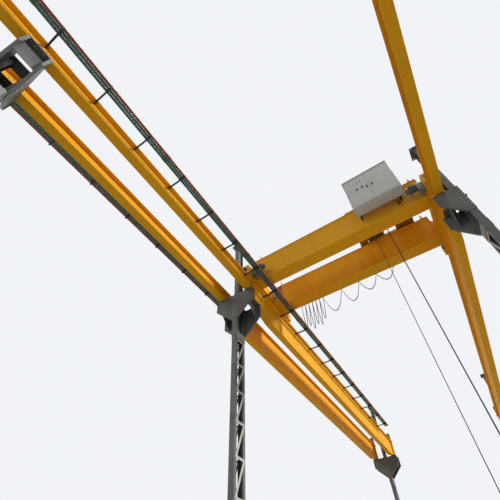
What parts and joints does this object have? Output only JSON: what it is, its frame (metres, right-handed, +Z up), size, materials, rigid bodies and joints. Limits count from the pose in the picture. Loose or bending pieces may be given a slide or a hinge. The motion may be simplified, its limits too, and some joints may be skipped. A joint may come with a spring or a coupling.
{
  "type": "overhead bridge crane",
  "caption": "Double-girder overhead bridge crane with a hoist crab, on runway beams carried by laced steel columns with gusseted brackets.",
  "frame": {"origin": "middle of the whole in plan, at floor level under the base plates", "axes": "+Y along the runway, from the end nearest the picture's camera; +X across the bay, from the centre columns to the side columns; +Z up"},
  "size_m": [8.47, 32.9, 13],
  "materials": {
    "frame_paint": "dark grey-green paint, dusty, with rust at the seams",
    "lacing_paint": "light grey paint, dusty",
    "crane_yellow": "amber yellow gloss paint, slightly soiled",
    "rail_steel": "rolled steel, worn bright on the running faces",
    "dark_steel": "dark paint on rolled steel",
    "bar_insulation": "insulated conductor bars in green, red and cream",
    "panel_paint": "light grey powder coat",
    "buffer_rubber": "black rubber",
    "cable_sheath": "black cable sheath",
    "wire_rope": "greased steel wire rope, nearly black",
    "collector_red": "red moulded plastic",
    "drive_paint": "grey machine enamel"
  },
  "bodies": {
    "runway": {"center_columns": "frame_paint", "side_columns": "frame_paint", "center_lacing": "lacing_paint", "side_lacing": "lacing_paint", "center_brackets": "frame_paint", "side_brackets": "frame_paint", "center_upper_shafts": "frame_paint", "side_upper_shafts": "frame_paint", "base_plates": "frame_paint", "left_near_beams": "crane_yellow", "left_deep_beam": "crane_yellow", "outer_near_beams": "crane_yellow", "outer_deep_beam": "crane_yellow", "right_near_beams": "crane_yellow", "right_deep_beam": "crane_yellow", "left_rail": "rail_steel", "outer_rail": "rail_steel", "right_rail": "rail_steel", "end_stops": "frame_paint", "conductor_arms": "dark_steel", "conductor_bars": "bar_insulation"},
    "bridge": {"near_girder": "crane_yellow", "rear_girder": "crane_yellow", "left_end_carriage": "crane_yellow", "right_end_carriage": "crane_yellow", "bridge_wheels": "rail_steel", "bridge_buffers": "buffer_rubber", "travel_drives": "drive_paint", "crab_rails": "rail_steel", "control_panel": "panel_paint", "panel_frame": "dark_steel", "festoon_track": "dark_steel", "festoon_trolleys": "dark_steel", "festoon_cable": "cable_sheath", "current_collector": "collector_red"},
    "crab": {"crab_frame": "crane_yellow", "crab_wheels": "rail_steel", "hoist_drum": "rail_steel", "hoist_gearbox": "drive_paint", "hoist_motor": "drive_paint", "crab_drive": "drive_paint", "equalizer": "rail_steel", "ropes": "wire_rope"},
    "hook": {"hook_block": "crane_yellow", "block_sheaves": "rail_steel", "block_rope": "wire_rope", "hook": "dark_steel"}
  },
  "joints": [
    {"name": "bridge_travel", "type": "slide", "parent": "runway", "child": "bridge", "axis": [0, 1, 0], "range_m": [-15.54, 13.23]},
    {"name": "crab_travel", "type": "slide", "parent": "bridge", "child": "crab", "axis": [1, 0, 0], "range_m": [-3.415, 0.215]},
    {"name": "hoist", "type": "slide", "parent": "crab", "child": "hook", "axis": [0, 0, 1], "range_m": [-1.4, 8.6], "deforming": ["ropes"]}
  ]
}
